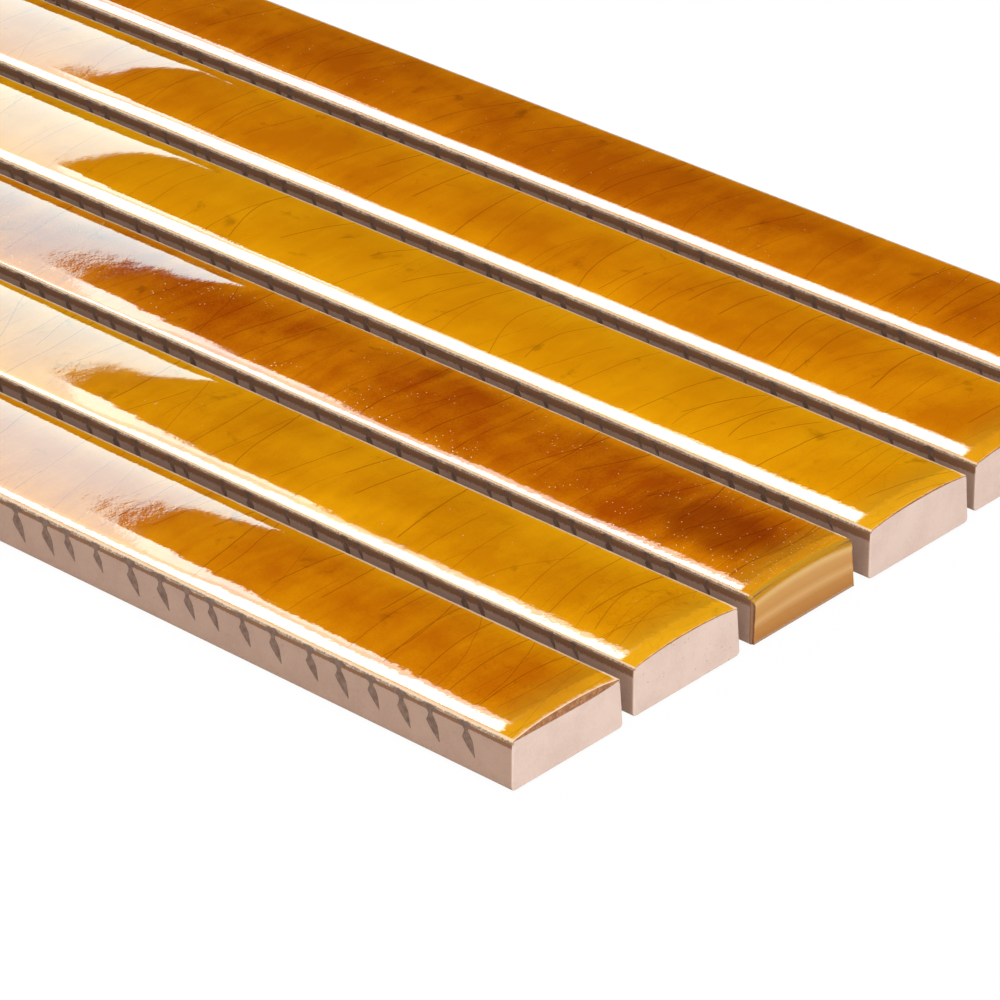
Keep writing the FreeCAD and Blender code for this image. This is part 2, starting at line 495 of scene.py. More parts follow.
def clay_ring(place, pool):
    """The clay's whole section as a closed ring, and the outward lean of each point."""
    section, side, down = full_section(place["dome"])
    thickness = glass_thickness(section, pool)
    keep = down == 0
    section, side, thickness = section[keep], side[keep], thickness[keep]
    face = section[:, :2].copy()
    fade = np.where(np.abs(section[:, 2]) > SIDE_ANGLE - 0.25, 0.5, 1.0)
    face[:, 0] -= side * np.sin(section[:, 2]) * thickness * fade
    face[:, 1] -= np.cos(section[:, 2]) * thickness
    right = []
    top_height = face[-1, 1] - 0.15 * MM
    for height in top_height + (BACK_ARRIS - top_height) * np.linspace(0, 1, SIDE_ROWS) ** 1.6:
        right.append((side_at(height), height, SIDE_ANGLE))
    for turn in np.linspace(0, math.pi / 2, 6)[1:]:
        y = HALF_BASE - BACK_ARRIS * (1 - math.cos(turn)) - 0.04 * MM
        right.append((y, BACK_ARRIS * (1 - math.sin(turn)), math.pi / 2 + turn))
    for y in np.linspace(HALF_BASE - BACK_ARRIS - 1.2 * MM, 0, 6):
        right.append((y, 0.0, math.pi))
    right = np.array(right)
    left = right[::-1][1:].copy()
    left[:, 0] *= -1
    ring = np.vstack([face, right[:, :2], left[:, :2]])
    lean = np.concatenate([section[:, 2], right[:, 2], left[:, 2]])
    sign = np.sign(ring[:, 0])
    return ring, lean, sign


ring, lean, sign = clay_ring(place_of("strip_1"), 0.95 * MM)
print(len(ring), "points around the clay")

# %% Clay bodies
GLAZED_END_GAP = 0.30 * MM
GLAZED_END_ROUND = 0.5 * MM
COVERED = 2.0


def shade_and_stain_under_foot(ring, lean, place):
    """Painted shade and stain on the clay just under the glass foot, fading downwards."""
    depth = place["toast"]
    foot = EDGE_HEIGHT - place["dome"][3] - FOOT_DROP
    on_side = np.abs(lean - SIDE_ANGLE) < 0.02
    shade = 1 - smooth_step(foot - ring[:, 1], 0.35 * depth, depth)
    return np.where(on_side, shade, 0.0)


def make_clay(name):
    """One strip's clay, closed, rounded a little at both ends."""
    place = place_of(name)
    ring, lean, sign = clay_ring(place, STRIPS[name]["pool"] * MM)
    glazed = name == GLAZED_END
    near = place["end"] - (GLAZED_END_GAP if glazed else 0)
    places, drops = stations(place["start"], near, CLAY_ROUND)
    rows = []
    for x, drop in zip(places, drops):
        deep = GLAZED_END_ROUND if glazed and x > 0 else CLAY_ROUND
        lost = drop * deep / CLAY_ROUND
        lost = lost * np.where(lean < SIDE_ANGLE - 0.1, 0.15, 1.0)
        drift = CLAY_DRIFT * (wander(x, place["seed"] + 90, 0.02) - 1) * np.abs(np.sin(lean))
        y = ring[:, 0] - sign * (np.sin(lean) * lost - drift)
        z = ring[:, 1] - np.cos(lean) * lost
        rows.append(np.column_stack([np.full(len(ring), x), y, z]))
    grid = np.array(rows)
    grid[:, :, 2] = np.maximum(grid[:, :, 2], 0)
    count, around = grid.shape[:2]
    points = grid.reshape(-1, 3) + np.array([0, place["middle"], place["back"]])
    row, column = np.meshgrid(np.arange(count - 1), np.arange(around), indexing="ij")
    here, following = row * around + column, row * around + (column + 1) % around
    skin = np.stack([here, here + around, following + around, following], -1).reshape(-1, 4)
    caps = [list(range(around)), list(range(count * around - 1, (count - 1) * around - 1, -1))]
    stain_and_shade = np.tile(shade_and_stain_under_foot(ring, lean, place), count)
    # The rounded near end of this clay, behind the glass end, is painted the full dark of that
    # band.
    if glazed:
        stain_and_shade[np.repeat((drops > 0) & (places > 0), around)] = COVERED
    made = mesh_object(name + "_clay", points, skin.tolist() + caps, [("stain_and_shade", stain_and_shade)])
    for cap in made.data.polygons[len(skin) :]:
        cap.use_smooth = False
    return made


clay = {name: make_clay(name) for name in STRIPS}
print("clay bodies:", {name: len(made.data.polygons) for name, made in clay.items()}, "faces")

# %% [markdown]
# Where thin glaze ran down the side it dried as grey-brown marks: a drape along the foot
# of the glass, a narrow neck and a leaf that ends in a point. They come every six
# millimetres or so, all leaning one way, so one leaf is drawn and Geometry Nodes set it
# out along both sides, with the size and place of each left to a fixed seed.

# %% One run mark
RUN_OUTLINE = [
    (-1.9, 0.0), (-1.1, 0.30), (-0.5, 0.62), (-0.22, 1.0), (-0.34, 1.5), (-0.62, 2.1),
    (-0.2, 2.75), (0.6, 3.6), (1.8, 4.7), (1.60, 3.5), (1.38, 2.4), (0.95, 1.65),
    (0.5, 1.1), (0.48, 0.70), (0.8, 0.34), (1.3, 0.0), (0.7, -0.30), (-0.9, -0.30),
]
RUN_THICKNESS = 0.10 * MM


def run_mark(name, hand):
    """A flat leaf in the XZ plane whose front faces -Y, with its top on the foot line."""
    made = bpy.data.meshes.new(name)
    count = len(RUN_OUTLINE)
    front = [(hand * x * MM, -0.3 * RUN_THICKNESS, -down * MM) for x, down in RUN_OUTLINE]
    back = [(x, 0.7 * RUN_THICKNESS, z) for x, _, z in front]
    walls = [(i, (i + 1) % count, count + (i + 1) % count, count + i) for i in range(count)]
    faces = [tuple(range(count))[::-1], tuple(range(count, 2 * count))] + walls
    if hand < 0:
        faces = [face[::-1] for face in faces]
    made.from_pydata(front + back, [], faces)
    made.update()
    return linked(name, made)


leaves = {-1: run_mark("leaf_front", 1), 1: run_mark("leaf_back", -1)}
print("a run mark has", len(leaves[1].data.vertices), "points")

# %% [markdown]
# Geometry Nodes and materials are both trees of nodes. One helper adds a node and fills its
# inputs, and a small class lets ordinary arithmetic stand for Math nodes, so that a
# formula in a tree reads like a formula.

# %% Helpers for node trees
class Value:
    """What comes out of a node. Arithmetic with it adds Math nodes."""

    def __init__(self, socket):
        self.socket = socket
        self.tree = socket.id_data

    def __getitem__(self, label):
        """Another output of the same node."""
        return Value(self.socket.node.outputs[label])

    def __add__(self, other):
        return calc("ADD", self, other)

    def __sub__(self, other):
        return calc("SUBTRACT", self, other)

    def __rsub__(self, other):
        return calc("SUBTRACT", other, self)

    def __mul__(self, other):
        return calc("MULTIPLY", self, other)

    def __truediv__(self, other):
        return calc("DIVIDE", self, other)

    def __lt__(self, other):
        return calc("LESS_THAN", self, other)

    def __abs__(self):
        return calc("ABSOLUTE", self)


def plug(socket, value):
    """Link a socket to what comes out of a node, or set it to a plain value."""
    if isinstance(value, Value):
        socket.id_data.links.new(value.socket, socket)
    elif socket.type == "RGBA":
        socket.default_value = (*value, 1)
    else:
        socket.default_value = value


def node(kind, inputs=(), tree=None, **settings):
    """A node's first output. The node goes in the tree of its inputs, or in a named one."""
    inputs = dict(inputs)
    if tree is None:
        tree = next(value.tree for value in inputs.values() if isinstance(value, Value))
    made = tree.nodes.new(kind)
    for label, setting in settings.items():
        setattr(made, label, setting)
    for label, value in inputs.items():
        plug(made.inputs[label], value)
    return Value(made.outputs[0]) if made.outputs else made


def calc(operation, *values, clamp=False):
    """One Math node."""
    return node("ShaderNodeMath", enumerate(values), operation=operation, use_clamp=clamp)


def xyz(vector):
    """The three numbers of a vector or a colour."""
    parts = node("ShaderNodeSeparateXYZ", {0: vector})
    return [parts[axis] for axis in "XYZ"]


print("node helpers ready")

# %% Trees for Geometry Nodes
def new_tree(name, **inputs):
    """A tree with named inputs, each of a given kind, and those inputs as values."""
    tree = bpy.data.node_groups.new(name, "GeometryNodeTree")
    for label, kind in inputs.items():
        tree.interface.new_socket(label, in_out="INPUT", socket_type="NodeSocket" + kind)
    tree.interface.new_socket("Geometry", in_out="OUTPUT", socket_type="NodeSocketGeometry")
    given = node("NodeGroupInput", tree=tree)
    return tree, {label: given[label] for label in inputs}


def close_tree(shape, finish):
    """Give the shape its material and pass it to the tree's output."""
    painted = node("GeometryNodeSetMaterial", {"Geometry": shape, "Material": finish})
    node("NodeGroupOutput", {0: painted})
    return shape.tree


def chance_between(least, most, seed):
    """A number by chance for each point."""
    inputs = {"Min": least, "Max": most, "Seed": seed}
    return node("FunctionNodeRandomValue", inputs, data_type="FLOAT")["Value"]


def identifiers(tree):
    """Input names and the identifiers by which a modifier knows them."""
    return {s.name: s.identifier for s in tree.interface.items_tree if s.in_out == "INPUT"}


def grown(name, tree, settings):
    """Run a tree once and keep what it makes as a plain mesh object."""
    holder = linked(name + "_tree", bpy.data.meshes.new(name + "_tree"))
    modifier = holder.modifiers.new("nodes", "NODES")
    modifier.node_group = tree
    known = identifiers(tree)
    for label, value in settings.items():
        modifier[known[label]] = value
    graph = bpy.context.evaluated_depsgraph_get()
    mesh = bpy.data.meshes.new_from_object(holder.evaluated_get(graph))
    mesh.name = name
    made = linked(name, mesh)
    bpy.data.objects.remove(holder)
    return made


print("a tree is run once, and what it makes is kept as a plain mesh")

# %% A node tree that sets out the run marks
LATER_SEED = 100


def runs_tree():
    """A row of leaves along X, each shifted and sized by chance, with named inputs."""
    _, given = new_tree(
        "run marks", Leaf="Object", Marks="Int", Spacing="Float", First="Vector", Turn="Vector",
        Jitter="Float", Smallest="Float", Largest="Float", Seed="Int", Finish="Material",
    )
    line = node("GeometryNodeMeshLine", {
        "Count": given["Marks"], "Start Location": given["First"],
        "Offset": node("ShaderNodeCombineXYZ", {"X": given["Spacing"]}),
    })
    shift = chance_between(-1, 1.0, given["Seed"]) * given["Jitter"]
    moved = node("GeometryNodeSetPosition", {
        "Geometry": line, "Offset": node("ShaderNodeCombineXYZ", {"X": shift}),
    })
    later = given["Seed"] + LATER_SEED
    size = chance_between(given["Smallest"], given["Largest"], later)
    leaf = node("GeometryNodeObjectInfo", {"Object": given["Leaf"]})["Geometry"]
    placed = node("GeometryNodeInstanceOnPoints", {
        "Points": moved, "Instance": leaf, "Rotation": given["Turn"], "Scale": size,
    })
    real = node("GeometryNodeRealizeInstances", {0: placed})
    return close_tree(real, given["Finish"])


run_nodes = runs_tree()
print("run marks tree with inputs", sorted(identifiers(run_nodes)))

# %% Run marks along both sides of every strip
MARKS_PER_SIDE = 48
FIRST_MARK = 2.2 * MM
MARKS_END = 12 * MM
OUTER_RUNS = {"Jitter": 1.0 * MM, "Smallest": 0.85, "Largest": 1.12}
JOINT_RUNS = {"Jitter": 2.2 * MM, "Smallest": 0.4, "Largest": 0.8}


def make_runs(name, side, finish):
    """The leaves along one side of a strip, laid on the drawn-in side of the clay."""
    place = place_of(name)
    foot_z = half_section(place["dome"])[-1, 1] - FOOT_DROP
    tilt = math.atan2(SIDE_DRAFT, EDGE_HEIGHT)
    y = place["middle"] + side * side_at(foot_z)
    settings = {
        "Leaf": leaves[side],
        "Marks": MARKS_PER_SIDE,
        "Spacing": (place["end"] - place["start"] - MARKS_END) / (MARKS_PER_SIDE - 1),
        "First": (place["start"] + FIRST_MARK, y, place["back"] + foot_z),
        "Turn": (-tilt, 0, 0) if side < 0 else (-tilt, 0, math.pi),
        "Seed": int(place["seed"] * 10) + (1 if side > 0 else 0),
        "Finish": finish,
    }
    settings.update(OUTER_RUNS if side == -1 and name == "strip_1" else JOINT_RUNS)
    return grown(name + ("_runs_back" if side > 0 else "_runs_front"), run_nodes, settings)


run_finish = bpy.data.materials.new("run_mark_clay_stain")
runs = [make_runs(name, side, run_finish) for name in STRIPS for side in (-1, 1)]
for template in leaves.values():
    bpy.data.objects.remove(template)
print("run marks:", [len(made.data.polygons) for made in runs], "faces")

# %% [markdown]
# The mesh on the back is a plain weave of flat glass-fibre yarns. In the solid model it is
# a sheet with windows. Here each yarn is a six-sided tube that really goes over and under
# its neighbours: Geometry Nodes set the yarns out and a wave in X and Y lifts and drops them.

# %% A node tree for one set of yarns
def yarn_tree():
    """Parallel yarns along X or Y, each waving over and under those that cross it."""
    tree, given = new_tree(
        "woven yarns", Yarns="Int", Length="Float", Steps="Int", First="Vector", Apart="Vector",
        Thickness="Vector", Turn="Vector", Lift="Float", Wave="Float", Finish="Material",
    )
    tube = node("GeometryNodeMeshCylinder", {
        "Vertices": 6, "Radius": 1.0, "Side Segments": given["Steps"], "Depth": given["Length"],
    }, fill_type="NGON")
    flat = node("GeometryNodeTransform", {"Geometry": tube, "Scale": given["Thickness"]})
    row = node("GeometryNodeMeshLine", {
        "Count": given["Yarns"], "Start Location": given["First"], "Offset": given["Apart"],
    })
    laid = node("GeometryNodeInstanceOnPoints", {
        "Points": row, "Instance": flat, "Rotation": given["Turn"],
    })
    real = node("GeometryNodeRealizeInstances", {0: laid})
    x, y, _ = xyz(node("GeometryNodeInputPosition", tree=tree))
    height = given["Lift"]
    for along in (x, y):
        height = height * calc("COSINE", along * given["Wave"])
    lift = node("ShaderNodeCombineXYZ", {"Z": height})
    bent = node("GeometryNodeSetPosition", {"Geometry": real, "Offset": lift})
    return close_tree(bent, given["Finish"])


yarn_nodes = yarn_tree()
print("yarn tree with inputs", sorted(identifiers(yarn_nodes)))

# %% The woven mesh
PITCH = 11.0 * MM
YARN_WIDTH = 1.0 * MM
YARN_THICKNESS = 0.2 * MM
LIFT = 0.098 * MM


def make_yarns(name, count, length, along_x, finish):
    """The yarns that run along one direction; the other set waves the other way."""
    low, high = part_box("backing_mesh")
    first = -PITCH * (count - 1) / 2
    middle = (low.z + high.z) / 2
    settings = {
        "Yarns": count,
        "Length": length,
        "Steps": int(length / PITCH * 4),
        "First": (0, first, middle) if along_x else (first, 0, middle),
        "Apart": (0, PITCH, 0) if along_x else (PITCH, 0, 0),
        "Thickness": (YARN_THICKNESS / 2, YARN_WIDTH / 2, 1),
        "Turn": (0, math.pi / 2, 0) if along_x else (0, math.pi / 2, math.pi / 2),
        "Lift": LIFT if along_x else -LIFT,
        "Wave": math.pi / PITCH,
        "Finish": finish,
    }
    return grown(name, yarn_nodes, settings)


yarn_finish = bpy.data.materials.new("glass_fibre_yarn")
low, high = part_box("backing_mesh")
weave = [
    make_yarns("mesh_long_yarns", 13, high.x - low.x, True, yarn_finish),
    make_yarns("mesh_cross_yarns", 27, high.y - low.y, False, yarn_finish),
]
for made in weave:
    made.data.polygons.foreach_set("use_smooth", [True] * len(made.data.polygons))
print("woven mesh:", [len(made.data.polygons) for made in weave], "faces")

# %% [markdown]
# Materials are written in millimetres: a Mapping node turns object coordinates from metres
# into millimetres, so that a noise of scale 1 changes over about one millimetre.

# %% Helpers for materials
def fresh(name):
    """A material with only its shader, the shader's inputs, and the place in millimetres."""
    made = bpy.data.materials.get(name) or bpy.data.materials.new(name)
    made.use_nodes = True
    tree = made.node_tree
    tree.nodes.clear()
    shader = node("ShaderNodeBsdfPrincipled", tree=tree)
    node("ShaderNodeOutputMaterial", {"Surface": shader})
    position = node("ShaderNodeTexCoord", tree=tree)["Object"]
    return made, shader.socket.node.inputs, mapped(position, (1000, 1000, 1000))


def mapped(where, scale, shift=(0, 0, 0)):
    """A position, stretched and shifted."""
    return node("ShaderNodeMapping", {"Vector": where, "Scale": scale, "Location": shift})


def blend(share, first, second, way="MIX"):
    """Mix two colours."""
    inputs = {"Factor": share, "A": first, "B": second}
    return node("ShaderNodeMix", inputs, data_type="RGBA", blend_type=way)["Result"]


def ramp(value, low, high, to_low=0.0, to_high=1.0):
    """A smooth step from one level to another."""
    inputs = enumerate((value, low, high, to_low, to_high))
    return node("ShaderNodeMapRange", inputs, interpolation_type="SMOOTHSTEP")


def grain(where, scale, detail=2.0, rough=0.5, warp=0.0, stretch=None, seed=0.0):
    """Noise of a given number of changes per millimetre."""
    if stretch or seed:
        where = mapped(where, stretch or (1, 1, 1), (seed * 17.3, seed * 9.1, seed * 5.7))
    inputs = {"Vector": where, "Scale": scale, "Detail": detail, "Roughness": rough}
    inputs["Distortion"] = warp
    return node("ShaderNodeTexNoise", inputs)["Fac"]


def sway(noise_value, strength, rest=0.5):
    """Noise as a number that swings about zero."""
    return (noise_value - rest) * strength


def dots(where, scale, low, high):
    """How strongly a point lies on a round dot, and a number by chance for each dot."""
    cells = node("ShaderNodeTexVoronoi", {"Scale": scale, "Vector": where})
    return ramp(cells["Distance"], low, high, 1.0, 0.0), xyz(cells["Color"])[0]


def kept(tree, label):
    """A number that was kept at each point of the mesh."""
    return node("ShaderNodeAttribute", tree=tree, attribute_name=label)["Fac"]


def bumped(shader, height, distance):
    """Bump from a height; the distance is in metres."""
    made = node("ShaderNodeBump", {"Distance": distance, "Strength": 1.0, "Height": height})
    plug(shader["Normal"], made)
    return made


print("material helpers ready")

# %% [markdown]
# Crackle is the network of hair cracks that opens when a glaze shrinks more than its clay.
# On a long strip the cracks run mostly straight across. They are drawn as lines of constant
# X, bent by noise: each line has a number, and chance tells which lines exist and how far
# across the strip each one runs. Near the ends a net of cell borders joins them.

# %% Crackle lines
STRIP_PITCH = 25.4


def crack_family(where, period, bend, seed, share, width):
    """How strongly a point lies on one family of cracks that run across the strip."""
    x, y, _ = xyz(where)
    broad = grain(where, 0.036, 0.0, stretch=(0.22, 1, 1), seed=seed)
    fine = grain(where, 0.35, 1.0, seed=seed + 3)
    bent = x + sway(broad, bend) + sway(fine, bend * 0.018)
    line = bent / period + seed * 0.37
    number = calc("ROUND", line)
    from_side = y + 3 * STRIP_PITCH
    strip = calc("FLOOR", from_side / STRIP_PITCH)
    key = node("ShaderNodeCombineXYZ", {0: number, 1: strip, 2: seed})
    drawn = node("ShaderNodeTexWhiteNoise", {"Vector": key}, noise_dimensions="3D")
    chance, size, turn = xyz(drawn["Color"])
    own_y = calc("MODULO", from_side, STRIP_PITCH) - STRIP_PITCH / 2
    off_line = line - number + sway(turn, 0.075) * own_y
    away = abs(off_line) * period
    past = abs(own_y - sway(size, 16.0)) - (turn * 12.0 + 4.5)
    on = calc("SUBTRACT", 1.0, away / ((size + 0.55) * width), clamp=True)
    return on * (chance < share) * ramp(past, 0.0, 0.8, 1.0, 0.0)


def crack_net(where, scale, seed, width):
    """How strongly a point lies on the borders of random cells."""
    moved = mapped(where, (1.0, 0.62, 0.35), (seed * 3.1, seed, 0))
    bend = node("ShaderNodeTexNoise", {"Vector": moved, "Scale": 0.4})
    inputs = {0: bend["Color"], 1: (2.2, 2.2, 2.2), 2: moved}
    shifted = node("ShaderNodeVectorMath", inputs, operation="MULTIPLY_ADD")
    inputs = {"Scale": scale, "Vector": shifted}
    cells = node("ShaderNodeTexVoronoi", inputs, feature="DISTANCE_TO_EDGE")
    return calc("SUBTRACT", 1.0, cells["Distance"] / (width * scale), clamp=True)


def crackle(where, seed, at_end):
    """How strongly a point lies on any crack; the net shows near the end and in patches."""
    cracks = calc(
        "MAXIMUM",
        crack_family(where, 6.3, 11.0, seed + 0.1, 0.70, 0.11),
        crack_family(where, 8.3, 17.0, seed + 5.2, 0.60, 0.09),
    )
    crowded = crack_family(where, 2.9, 12.0, seed + 8.4, 0.70, 0.07)
    patch = ramp(grain(where, 0.07, 2.0, seed=seed + 6), 0.56, 0.66)
    net_share = calc("MAXIMUM", at_end, patch * 0.6)
    net = crack_net(where, 0.36, seed, 0.06) * net_share
    net = calc("MAXIMUM", net * 0.3, crowded * net_share)
    return calc("MAXIMUM", cracks, net)


print("crackle: lines every 7 mm or so, and a net near the ends")

# %% [markdown]
# The glaze is a clear amber glass over pinkish clay. Where it is thick it is deep in colour,
# and along edges and ends, where it drew thin, it turns yellow and then lets the clay show.
# Its colour comes from clouds and streaks; one strip also has a dark pool and pinholes.

# %% Colour inside the glaze
NEAR_END = 151.0
POOL_PLACE = (134.0, -13.0)
POOL_REACH = (15.0, 7.0)
POOL_COLOUR = (0.24, 0.032, 0.0003)


def burnt_pool(where, streak):
    """A dark pool close to the near end of the strip that is glazed over that end."""
    x, y, _ = xyz(where)
    along = (x - POOL_PLACE[0]) / POOL_REACH[0]
    across = (y - POOL_PLACE[1]) / POOL_REACH[1]
    away = along * along + across * across + sway(streak, 1.2)
    return ramp(away, 0.1, 1.2, 0.75, 0.0)


def glass_colour(where, look, seed, thin, streak, dust):
    """Deep where the glass is thick and pale where it is thin, with clouds and smudges."""
    cloud = grain(where, 0.045, 3.0, 0.55, stretch=(1, 1.6, 1), seed=seed)
    shade = sway(cloud, 1.5, 0.45) + sway(streak, 0.9) + sway(dust, 0.5) + thin * 0.75
    colour = blend(calc("ADD", shade, 0.12, clamp=True), look["deep"], look["pale"])
    if look["specks"] == 1.0:
        colour = blend(burnt_pool(where, streak), colour, POOL_COLOUR)
    smudge = ramp(grain(where, 0.16, 4.0, 0.62, 0.4, seed=seed + 4), 0.60, 0.74)
    dark = tuple(channel * 0.42 for channel in look["deep"])
    return blend(smudge * 0.5, colour, dark)


def pinholes(where, look, seed, at_end):
    """How strongly a point lies in a pinhole; pinholes crowd together here and there."""
    pin, chance = dots(where, 1.45, 0.11, 0.21)
    cloud = grain(where, 0.10, 2.0, seed=seed + 11)
    crowd = ramp(cloud, 0.42, 0.66, 0.0, 0.5 * look["specks"])
    crowd = crowd + at_end * (0.4 * max(0.0, look["specks"] - 0.2))
    return pin * (chance < crowd)


print("the dark pool lies", NEAR_END - POOL_PLACE[0], "mm from the near end")

# %% [markdown]
# What lies on the glass catches light by its relief: a fine peel, dimples that swell into
# beads along the shoulders near the end, the pinholes, and the fraction of a degree by
# which each face leans. The relief is bump, as it is far too shallow for the outline.

# %% Relief of the glaze
PEEL_HEIGHT = 0.0000055
BEND = 1.5
TIP_FROM = 7.0
DEGREE = math.radians(1.0) * MM / PEEL_HEIGHT


def relief(where, name, seed, thin, pin):
    """Height over the face, with PEEL_HEIGHT as its unit."""
    look = STRIPS[name]
    x, y, _ = xyz(where)
    peel = grain(where, 2.6, 2.0, 0.5, seed=seed + 9) * 0.26
    shoulder = calc("POWER", calc("MINIMUM", thin, 1.0), 4.0) * look["beads"]
    beading = ramp(x, 60.0, 145.0, 1.4, 4.0) * (shoulder + 1.0)
    dimple = grain(where, 0.30, 3.0, 0.55, seed=seed + 13) * beading
    height = peel + dimple - pin * 0.5 + x * (look["lean"] * DEGREE)
    past_bend = calc("SMOOTH_MAX", x - look["bend"], 0.0, 8.0)
    own_y = y - place_of(name)["middle"] / MM
    low = calc("MAXIMUM", -TIP_FROM - own_y, 0.0)
    height = height - past_bend * (BEND * DEGREE)
    return height - low * low * (look["tip"] * DEGREE / 2)


print("a lean of one degree is", round(DEGREE, 2), "units of height for each millimetre")

# %% [markdown]
# The finished glaze puts the layers on top of each other: the colour of the glass, cracks,
# pinholes, clay that shows through at worn edges, a dark foot that is painted shade with
# some brown stain, an olive tint towards the end and, on one strip, the bands of colour where
# the glass ran down over the end, two of them painted highlights. A clear coat over a smooth
# base gives the doubled gloss of glass on glass.

# %% The honey glaze
PEACH = (0.82, 0.58, 0.37)
PIN_COLOUR = (0.80, 0.50, 0.24)
# The colour of the painted shade, with some brown stain, on the lower shoulder and foot of the
# glass.
GLASS_SHADE_AND_STAIN = (0.17, 0.085, 0.04)
OLIVE = (0.50, 0.27, 0.015)
# Two stops are painted light: the pale one at 0.40 is a painted highlight where the glass rounds
# over the end, and the pale one at 0.69 is a painted reflection streak across the end.
END_COLOURS_AND_HIGHLIGHTS = [
    (0.0, (0.52, 0.27, 0.02)), (0.28, (0.48, 0.21, 0.012)), (0.40, (0.66, 0.40, 0.13)),
    (0.48, (0.56, 0.27, 0.06)), (0.60, (0.52, 0.24, 0.045)), (0.69, (0.62, 0.33, 0.10)),
    (0.79, (0.48, 0.20, 0.025)), (1.0, (0.40, 0.145, 0.003)),
]


def end_bands(thin):
    """The glass colours down the glazed end, from top to foot, with two painted highlights."""
    bands = node("ShaderNodeValToRGB", {"Fac": thin - 1.0})
    stops = bands.socket.node.color_ramp.elements
    for place, shade in END_COLOURS_AND_HIGHLIGHTS:
        stop = stops[-int(place)] if place in (0.0, 1.0) else stops.new(place)
        stop.color = (*shade, 1)
    return bands["Color"]


def honey_glaze(name, look, seed):
    """The crackle glaze of one strip."""
    made, shader, where = fresh("honey_glaze_" + name)
    thin, bare, stain_and_shade = (kept(where.tree, label) for label in ("thin", "bare", "stain_and_shade"))
    x, _, _ = xyz(where)
    at_end = ramp(x, NEAR_END - 34, NEAR_END - 8)
    streak = grain(where, 0.22, 4.0, 0.6, 0.6, stretch=(1, 0.28, 1), seed=seed + 1)
    dust = grain(where, 2.4, 3.0, 0.7, seed=seed + 2)
    ragged = grain(where, 1.1, 4.0, 0.7, stretch=(0.7, 1, 1), seed=seed + 8)
    red, green, _ = look["deep"]
    crack_colour = (red * 0.30 + 0.05, green * 0.17, 0.0)
    pin = pinholes(where, look, seed, at_end)
    colour = glass_colour(where, look, seed, thin, streak, dust)
    colour = blend(crackle(where, seed, at_end) * 0.8, colour, crack_colour)
    colour = blend(pin * 0.85, colour, PIN_COLOUR)
    show = ramp(bare + sway(ragged, 0.9), 0.30, 0.85) * ramp(bare, 0.02, 0.2)
    colour = blend(show, colour, PEACH)
    # Painted shade, with some brown stain, darkens the lower shoulder and foot of the glass.
    shade_and_stain_mix = stain_and_shade + (dust * 1.1 + ragged * 0.5 - 0.8)
    colour = blend(ramp(shade_and_stain_mix, 0.35, 0.8) * 0.85, colour, GLASS_SHADE_AND_STAIN)
    end_x = place_of(name)["end"] / MM
    ragged_x = x + sway(ragged, 2.5)
    olive = ramp(ragged_x, end_x - 9.0, end_x - 1.5) * 0.45
    colour = blend(olive * (1.0 - show), colour, OLIVE)
    over_end = ramp(thin, 1.0, 1.03)
    plug(shader["Base Color"], blend(over_end, colour, end_bands(thin)))
    worn = ramp(ragged_x, end_x - 3.6, end_x - 2.6) * (1.0 - over_end)
    plug(shader["Roughness"], ramp(dust, 0.3, 0.7, 0.02, 0.05) + worn * 0.2)
    gloss = 1.0 - calc("MAXIMUM", worn, over_end * 0.75)
    plug(shader["Coat Weight"], gloss)
    plug(shader["Specular IOR Level"], gloss * 0.5)
    plug(shader["IOR"], 1.52)
    plug(shader["Coat Roughness"], 0.01)
    plug(shader["Coat IOR"], 1.6)
    bump = bumped(shader, relief(where, name, seed, thin, pin), PEEL_HEIGHT)
    plug(shader["Coat Normal"], bump)
    return made


glazes = {
    name: honey_glaze(name, look, 1.3 + 2.1 * i) for i, (name, look) in enumerate(STRIPS.items())
}
print("glazes:", len(glazes))

# %% [markdown]
# The rest of the strip is fired clay: pinkish cream where it was cut, and browner along the
# sides, partly as painted shade. Just under the glaze it is darkened by painted shade with
# some brown stain. The cut end also shows the glaze as a thin brown band. The marks of thin
# glaze on the sides are grey-brown, and the mesh is white yarn.

# %% The clay
# The sides get a darker clay than the cut ends, chosen by which way each face points; that darkness
# is partly painted shade.
SIDE_CLAY_AND_SHADE = (0.44, 0.285, 0.21)
CUT_CLAY = (0.73, 0.56, 0.475)
GREY_TONE = (0.90, 0.87, 0.86)
GRIT_COLOUR = (0.34, 0.20, 0.14)
# The colour of the painted shade, with some brown stain, on the clay under the glass.
CLAY_SHADE_AND_STAIN = (0.22, 0.095, 0.04)


